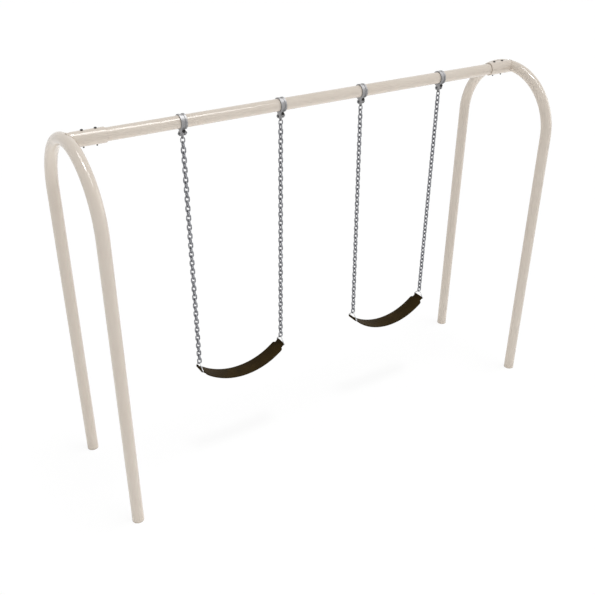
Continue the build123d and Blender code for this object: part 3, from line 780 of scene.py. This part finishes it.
def thread_rings(start, end, radius, pitch):
    """Crests and roots of a thread between two heights."""
    turns = max(1, round(abs(end - start) / pitch))
    root = radius - THREAD_DEPTH * pitch
    rings = []
    for turn in range(turns):
        foot = start + (end - start) * turn / turns
        crest = start + (end - start) * (turn + 0.5) / turns
        rings += [(foot, root, None), (crest, radius, None)]
    return rings + [(end, root, None)]


print("a chamfer takes", len(chamfered_end(0, 1)), "rings")

# %% Bolts and nuts from rings
TIP_SHARE = 0.78  # the tip's radius as a share of the bolt's
TIP_HEIGHT = 0.6 * MM
RUN_OUT = 0.4 * MM  # from the last thread to the full shank
FACE_HEIGHT = 0.4 * MM  # the washer face under the head
BORE_CHAMFER = 0.6 * MM


def bolt_shape(name, length, radius, flats, head, pitch, threaded):
    """A bolt standing on its tip: the head's underside is at the length."""
    tip = [(0.0, radius * TIP_SHARE, None)] + thread_rings(TIP_HEIGHT, threaded, radius, pitch)
    shank = [(threaded + RUN_OUT, radius, None), (length, radius, None)]
    face = flats / 2 * FACE_SHARE
    washer_face = [(length, face, None), (length + FACE_HEIGHT, face, None)]
    hexagon = [(length + FACE_HEIGHT, flats / sqrt(3), flats)] + chamfered_end(length + head, flats)
    return turned_solid(name, tip + shank + washer_face + hexagon)


def nut_shape(name, height, radius, flats):
    """A nut lying flat, with both outer ends and the bore chamfered."""
    upper = chamfered_end(height, flats)
    lower = [(height - level, limit, width) for level, limit, width in reversed(upper)]
    wide = radius + BORE_CHAMFER
    bore_down = [(height, wide, None), (height - BORE_CHAMFER, radius, None)]
    bore_foot = [(BORE_CHAMFER, radius, None), (0.0, wide, None)]
    return turned_solid(name, lower + upper + bore_down + bore_foot, hollow=True)


print("a thread 10 mm long takes", len(thread_rings(0, 10 * MM, 5 * MM, 1.5 * MM)), "rings")

# %% Copies jig
copies_jig, given = start_jig("copies_on_spots", {
    "Shape": "Object", "Turn": "Vector", "Finish": "Material",
})
shape_made = add(copies_jig, "GeometryNodeObjectInfo", {"Object": given["Shape"]}).outputs["Geometry"]
on_spots = add(copies_jig, "GeometryNodeInstanceOnPoints", {
    "Points": given["Geometry"], "Instance": shape_made, "Rotation": given["Turn"],
})
real_copies = add(copies_jig, "GeometryNodeRealizeInstances", {"Geometry": on_spots})
dressed_copies = add(copies_jig, "GeometryNodeSetMaterial", {
    "Geometry": real_copies, "Material": given["Finish"],
})
add(copies_jig, "NodeGroupOutput", {"Geometry": dressed_copies})


def set_copies(name, mesh, spots, turn, finish, node):
    """Puts one shape on every spot, in place of an exact solid."""
    pattern = bpy.data.objects.new(name + "_pattern", mesh)
    scene.collection.objects.link(pattern)
    points = bpy.data.meshes.new(name + "_spots")
    points.from_pydata(spots, [], [])
    piece = run_jig(copies_jig, name, {"Shape": pattern, "Turn": turn, "Finish": finish}, points)
    bpy.data.objects.remove(pattern)
    settle(piece, node)
    print(name, "at", len(spots), "spots, faces", len(piece.data.polygons))


# %% Bolts of the beam
BOLT_INSETS = (91 * MM, 168 * MM)  # from the middle of an arch
BEAM_BOLT = {
    "radius": 4.75 * MM, "flats": 14.3 * MM, "head": 6.2 * MM,
    "pitch": 1.6 * MM, "threaded": 22 * MM,
}
HEAD_UP = (0, 0, pi / 6)  # with a flat of the hexagon facing along the beam

arch_xs = [middle("arch_left").x, middle("arch_right").x]
bolts_low, bolts_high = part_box("beam_bolts")
length = bolts_high.z - bolts_low.z - BEAM_BOLT["head"]
mesh = bolt_shape("beam_bolt", length, **BEAM_BOLT)
spots = [(arch_xs[0] + inset, 0, bolts_low.z) for inset in BOLT_INSETS]
spots += [(arch_xs[1] - inset, 0, bolts_low.z) for inset in BOLT_INSETS]
set_copies("threaded_beam_bolts", mesh, spots, HEAD_UP, black_oxide, "beam_bolts")

# %% Bolts and nuts of the clamps
CLAMP_BOLT = {
    "radius": 5.0 * MM, "flats": 17.0 * MM, "head": 6.4 * MM,
    "pitch": 1.5 * MM, "threaded": 26 * MM,
}
NUT_PLAY = 0.05 * MM
HEAD_TO_FRONT = (pi / 2, 0, 0)

hanger_xs = [joint_place(names[0]).x for names in chain_joints.values()]
clamp_z = middle("clamp_bolts").z
bolts_low, bolts_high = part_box("clamp_bolts")
length = bolts_high.y - bolts_low.y - CLAMP_BOLT["head"]
mesh = bolt_shape("clamp_bolt", length, **CLAMP_BOLT)
spots = [(x, bolts_high.y, clamp_z) for x in hanger_xs]
set_copies("threaded_clamp_bolts", mesh, spots, HEAD_TO_FRONT, black_oxide, "clamp_bolts")

nuts_low, nuts_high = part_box("clamp_nuts")
nut_height = nuts_high.y - nuts_low.y
mesh = nut_shape("clamp_nut", nut_height, CLAMP_BOLT["radius"] + NUT_PLAY, CLAMP_BOLT["flats"])
spots = [(x, nuts_high.y, clamp_z) for x in hanger_xs]
set_copies("chamfered_clamp_nuts", mesh, spots, HEAD_TO_FRONT, black_oxide, "clamp_nuts")

# %% Bolts and nuts of the pivots
PIVOT_BOLT = {
    "radius": 4.75 * MM, "flats": 14.3 * MM, "head": 6.2 * MM,
    "pitch": 1.6 * MM, "threaded": 14 * MM,
}
HEAD_TO_LEFT = (0, -pi / 2, 0)

pivot_z = joint_place("left_swing").z
bolts_low, bolts_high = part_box("pivot_bolts")
reach_low = hanger_xs[0] - bolts_low.x
reach_high = bolts_high.x - hanger_xs[-1]
length = reach_low + reach_high - PIVOT_BOLT["head"]
mesh = bolt_shape("pivot_bolt", length, **PIVOT_BOLT)
spots = [(x + reach_high, 0, pivot_z) for x in hanger_xs]
set_copies("threaded_pivot_bolts", mesh, spots, HEAD_TO_LEFT, bolt_steel, "pivot_bolts")

nuts_low, nuts_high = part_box("pivot_nuts")
nut_reach = nuts_high.x - hanger_xs[-1]
nut_height = nuts_high.x - nuts_low.x - (hanger_xs[-1] - hanger_xs[0])
mesh = nut_shape("pivot_nut", nut_height, PIVOT_BOLT["radius"] + NUT_PLAY, PIVOT_BOLT["flats"])
spots = [(x + nut_reach, 0, pivot_z) for x in hanger_xs]
set_copies("chamfered_pivot_nuts", mesh, spots, HEAD_TO_LEFT, bolt_steel, "pivot_nuts")

# %% [markdown]
# ## Weld beads
#
# A hand-laid bead is a row of small frozen puddles, and those ripples are
# what tells it from a plain rounded corner. The jig takes the line
# where the two tubes meet, gives the bead a radius that swells once per
# puddle and tapers at both ends, and sweeps a circle along it. The line
# itself is worked out from the two tubes: a point on the sleeve's round,
# pushed out along the beam until it touches the bent tube.

# %% Weld jig
BEAD_SIDES = 14
BEAD_STEP = 0.5 * MM
PUDDLE_EDGE = 0.86  # the bead's thickness between two puddles, as a share of the puddle's
TAPER_SHARE = 0.04  # share of the bead's length over which an end thins
TAPER_END = 0.35

weld_jig, given = start_jig("weld_beads", {"Radius": "Float", "Puddle": "Float", "Finish": "Material"})
seam = add(weld_jig, "GeometryNodeMeshToCurve", {"Mesh": given["Geometry"]})
even = add(weld_jig, "GeometryNodeResampleCurve", {"Curve": seam, "Length": BEAD_STEP}, mode="LENGTH")
along = add(weld_jig, "GeometryNodeSplineParameter").outputs
puddles = add(weld_jig, "ShaderNodeMath", {
    0: along["Length"], 1: given["Puddle"],
}, operation="DIVIDE")
within = add(weld_jig, "ShaderNodeMath", {0: puddles}, operation="FRACT")
swell = add(weld_jig, "ShaderNodeMapRange", {"Value": within, "To Min": PUDDLE_EDGE, "To Max": 1.0})
back_share = add(weld_jig, "ShaderNodeMath", {0: 1.0, 1: along["Factor"]}, operation="SUBTRACT")
near_end = add(weld_jig, "ShaderNodeMath", {0: along["Factor"], 1: back_share}, operation="MINIMUM")
taper = add(weld_jig, "ShaderNodeMapRange", {
    "Value": near_end, "From Max": TAPER_SHARE, "To Min": TAPER_END, "To Max": 1.0,
})
share = add(weld_jig, "ShaderNodeMath", {0: swell, 1: taper}, operation="MULTIPLY")
bead_radius = add(weld_jig, "ShaderNodeMath", {0: share, 1: given["Radius"]}, operation="MULTIPLY")
round_section = add(weld_jig, "GeometryNodeCurvePrimitiveCircle", {
    "Resolution": BEAD_SIDES, "Radius": 1.0,
})
bead = add(weld_jig, "GeometryNodeCurveToMesh", {
    "Curve": even, "Profile Curve": round_section, "Scale": bead_radius, "Fill Caps": True,
})
soft_bead = add(weld_jig, "GeometryNodeSetShadeSmooth", {"Geometry": bead})
real_bead = add(weld_jig, "GeometryNodeRealizeInstances", {"Geometry": soft_bead})
dressed_bead = add(weld_jig, "GeometryNodeSetMaterial", {
    "Geometry": real_bead, "Material": given["Finish"],
})
add(weld_jig, "NodeGroupOutput", {"Geometry": dressed_bead})
print("the weld jig has", len(weld_jig.nodes), "nodes")

# %% Where sleeve and arch meet
SLEEVE_TAPER = 4.25 * MM  # how much the sleeve's radius shrinks towards the arch
TOUCH_ROUNDS = 12

arch_low, arch_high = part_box("arch_left")
sleeve_low, sleeve_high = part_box("beam_sleeve_left")
tube_radius = (arch_high.x - arch_low.x) / 2
bend_radius = (arch_high.y - arch_low.y) / 2 - tube_radius
beam_z = middle("top_beam").z
bend_centre_z = beam_z - bend_radius
sleeve_radius = (sleeve_high.y - sleeve_low.y) / 2
set_back = sleeve_low.x - arch_xs[0]


def seam_reach(angle):
    """Where the sleeve ends at an angle round the beam: its reach, and its radius there."""
    reach = tube_radius
    for _ in range(TOUCH_ROUNDS):
        share = min(1, (tube_radius - reach) / (tube_radius - set_back))
        radius = sleeve_radius - SLEEVE_TAPER * share
        off_centre = hypot(radius * sin(angle), beam_z + radius * cos(angle) - bend_centre_z) - bend_radius
        touch = sqrt(max(0, tube_radius**2 - off_centre**2))
        reach = (reach + max(touch, set_back)) / 2
    return reach, radius


print("the seam's reach on top is", round(seam_reach(0)[0] / MM, 1), "mm")

# %% Lay the beads
BEAD_RADIUS = 3.6 * MM
PUDDLE = 2.6 * MM
SEAM_STEPS = 90

for word, arch_x, inward in (("left", arch_xs[0], 1), ("right", arch_xs[1], -1)):
    points, edges = [], []
    for face in (-1, 1):
        first = len(points)
        for step in range(SEAM_STEPS + 1):
            angle = face * pi * step / SEAM_STEPS
            reach, radius = seam_reach(angle)
            points.append((arch_x + inward * reach, radius * sin(angle), beam_z + radius * cos(angle)))
        edges += [(index, index + 1) for index in range(first, len(points) - 1)]
    seam_mesh = bpy.data.meshes.new(f"seam_{word}")
    seam_mesh.from_pydata(points, edges, [])
    bead_piece = run_jig(weld_jig, f"weld_bead_{word}", {
        "Radius": BEAD_RADIUS, "Puddle": PUDDLE, "Finish": powder_coat,
    }, seam_mesh)
    settle(bead_piece, f"sleeve_weld_{word}")
    print("bead", word, "from", len(points), "points,", len(bead_piece.data.polygons), "faces")

# %% [markdown]
# ## Moulded belt seats
#
# A belt seat comes out of its mould with every edge rounded, and it hangs in
# an even curve between the two triangles. It could be cut from a flat sheet
# and bevelled, but a loft is simpler: one rounded section is drawn at many
# stations along the curve, wide over the middle and narrow at the necks, and
# the sections are skinned. The loops round the base bars are short tubes
# with rounded rims that the necks run into.

# %% The belt's plan
NECK_HALF = 42.7 * MM
NECK_LENGTH = 21 * MM
NECK_FILLET = 2.6 * MM
SHOULDER = 16 * MM  # the radius of the wide part's rounded corners
LOOP_RADIUS = 8.275 * MM
LOOP_BORE = 3.275 * MM
STRAIGHT_STEPS = 36
SHOULDER_STEPS = 12
FILLET_STEPS = 6
NECK_STEPS = 3


def belt_outline(half_span, full):
    """Half the belt's plan: (distance, half width, outward direction) along its edge."""
    shoulder_x, shoulder_y = half_span - NECK_LENGTH - SHOULDER, full - SHOULDER
    fillet_y = NECK_HALF + NECK_FILLET
    fillet_x = shoulder_x + sqrt((SHOULDER + NECK_FILLET) ** 2 - (fillet_y - shoulder_y) ** 2)
    meeting = atan2(fillet_y - shoulder_y, fillet_x - shoulder_x)
    line = [(shoulder_x * step / STRAIGHT_STEPS, full, 0.0) for step in range(STRAIGHT_STEPS)]
    for step in range(SHOULDER_STEPS + 1):
        angle = (pi / 2 - meeting) * step / SHOULDER_STEPS
        line.append((shoulder_x + SHOULDER * sin(angle), shoulder_y + SHOULDER * cos(angle), angle))
    for step in range(1, FILLET_STEPS + 1):
        angle = meeting + (pi / 2 - meeting) * step / FILLET_STEPS
        distance = fillet_x - NECK_FILLET * cos(angle)
        line.append((distance, fillet_y - NECK_FILLET * sin(angle), pi / 2 - angle))
    neck_end = half_span - (LOOP_RADIUS + LOOP_BORE) / 2
    for step in range(1, NECK_STEPS + 1):
        line.append((fillet_x + (neck_end - fillet_x) * step / NECK_STEPS, NECK_HALF, 0.0))
    return line


print("half a belt's plan takes", len(belt_outline(300 * MM, 60 * MM)), "stations")

# %% Rounded sections and their skin
RIM_STEPS = 4


def edge_profile(half_height, edge):
    """How far in from the edge, and how high, a rounded rim is: bottom to top."""
    turns = [pi / 2 * step / RIM_STEPS for step in range(RIM_STEPS + 1)]
    low = [(edge * (1 - sin(turn)), -half_height + edge * (1 - cos(turn))) for turn in turns]
    return low + [(inset, -height) for inset, height in reversed(low)]


def skin(shape, rings, closed):
    """Joins rings of vertices into one closed skin."""
    pairs = list(zip(rings, rings[1:]))
    if closed:
        pairs.append((rings[-1], rings[0]))
    count = len(rings[0])
    for first, second in pairs:
        for step in range(count):
            after = (step + 1) % count
            shape.faces.new((first[step], first[after], second[after], second[step]))
    if not closed:
        shape.faces.new(list(reversed(rings[0])))
        shape.faces.new(rings[-1])
    bmesh.ops.recalc_face_normals(shape, faces=shape.faces)


def keep_shape(shape, name):
    """Turns edited geometry into an object at the origin."""
    mesh = bpy.data.meshes.new(name)
    shape.to_mesh(mesh)
    shape.free()
    piece = bpy.data.objects.new(name, mesh)
    scene.collection.objects.link(piece)
    print(name, "has", len(mesh.polygons), "faces")
    return piece


print("a rounded rim takes", len(edge_profile(4 * MM, 2 * MM)), "points")

# %% Strip and loops
BELT_THICKNESS = 9 * MM
BELT_EDGE = 3.4 * MM
LOOP_EDGE = 1.8 * MM
LOOP_STEPS = 36


def belt_strip(name, centre_x, bar_z, half_span, sag, full):
    """The bent strip with its shoulders and necks."""
    radius = (half_span**2 + sag**2) / (2 * sag)
    arc_centre = Vector((centre_x, 0, bar_z - sag + radius))
    half = belt_outline(half_span, full)
    outline = [(-distance, width, -lean) for distance, width, lean in reversed(half[1:])] + half
    rim = edge_profile(BELT_THICKNESS / 2, BELT_EDGE)
    shape, rings = bmesh.new(), []
    for distance, width, lean in outline:
        near = [(distance - sin(lean) * inset, width - cos(lean) * inset, high) for inset, high in rim]
        far = [(along, -across, high) for along, across, high in reversed(near)]
        ring = []
        for along, across, high in near + far:
            bend = asin(along / radius)
            outward = Vector((sin(bend), 0, -cos(bend)))
            ring.append(shape.verts.new(arc_centre + outward * (radius - high) + Vector((0, across, 0))))
        rings.append(ring)
    skin(shape, rings, closed=False)
    return keep_shape(shape, name)


def bar_loop(name, bar_x, bar_z):
    """The thick round eye moulded round a base bar."""
    wall = (LOOP_RADIUS - LOOP_BORE) / 2
    rim = edge_profile(wall, LOOP_EDGE)
    near = [(NECK_HALF - inset, high) for inset, high in rim]
    section = near + [(-across, high) for across, high in reversed(near)]
    bar = Vector((bar_x, 0, bar_z))
    shape, rings = bmesh.new(), []
    for step in range(LOOP_STEPS):
        angle = 2 * pi * step / LOOP_STEPS
        outward = Vector((cos(angle), 0, sin(angle)))
        ring = []
        for across, high in section:
            ring.append(shape.verts.new(bar + Vector((0, across, 0)) + outward * (LOOP_BORE + wall + high)))
        rings.append(ring)
    skin(shape, rings, closed=True)
    return keep_shape(shape, name)


print("a loop's wall is", round((LOOP_RADIUS - LOOP_BORE) / MM, 2), "mm thick")

# %% One solid from strip and loops
def weld_solids(piece, others):
    """Unites overlapping solids into one skin with no faces inside."""
    for other in others:
        modifier = piece.modifiers.new("unite", "BOOLEAN")
        modifier.operation = "UNION"
        modifier.solver = "EXACT"
        modifier.object = other
    graph = bpy.context.evaluated_depsgraph_get()
    made = bpy.data.meshes.new_from_object(piece.evaluated_get(graph))
    piece.modifiers.clear()
    piece.data = made
    for other in others:
        bpy.data.objects.remove(other)
    print(piece.name, "united with", len(others), "loops:", len(made.polygons), "faces")


# %% Hang the belts
BAR_RADIUS = 3.175 * MM
BELT_CREASE = radians(40)

for number, word in ((1, "left"), (2, "right")):
    belt_low, belt_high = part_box(f"seat_belt_{number}")
    first, second = (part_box(f"seat_triangle_{index}") for index in (2 * number - 1, 2 * number))
    bar_z = first[0].z + BAR_RADIUS
    bars_x = [(low.x + high.x) / 2 for low, high in (first, second)]
    centre_x = sum(bars_x) / 2
    half_span = (bars_x[1] - bars_x[0]) / 2
    sag = bar_z - belt_low.z - BELT_THICKNESS / 2
    name = f"moulded_belt_{word}"
    belt = belt_strip(name, centre_x, bar_z, half_span, sag, (belt_high.y - belt_low.y) / 2)
    weld_solids(belt, [bar_loop(f"{name}_loop_{x}", bar_x, bar_z) for x, bar_x in enumerate(bars_x)])
    belt.data.materials.clear()
    belt.data.materials.append(rubber)
    belt.data.shade_smooth()
    belt.data.set_sharp_from_angle(angle=BELT_CREASE)
    settle(belt, f"seat_belt_{number}")
    print(name, "span", round(2 * half_span / MM, 1), "mm, sag", round(sag / MM, 1), "mm")

# %% [markdown]
# ## Check the size
#
# The dressed object should fill the same box as the exact solids. How far each corner of the dressed box lies from
# the solids' box is printed, so a slip in any of the shapes above would show.

# %% Print how far the sizes differ
visual_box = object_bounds()
for name, solid_corner, dressed_corner in zip(("low", "high"), cad_box, visual_box):
    differences = [round((after - before) / MM, 2) for before, after in zip(solid_corner, dressed_corner)]
    print(name, "corner differs by mm:", differences)
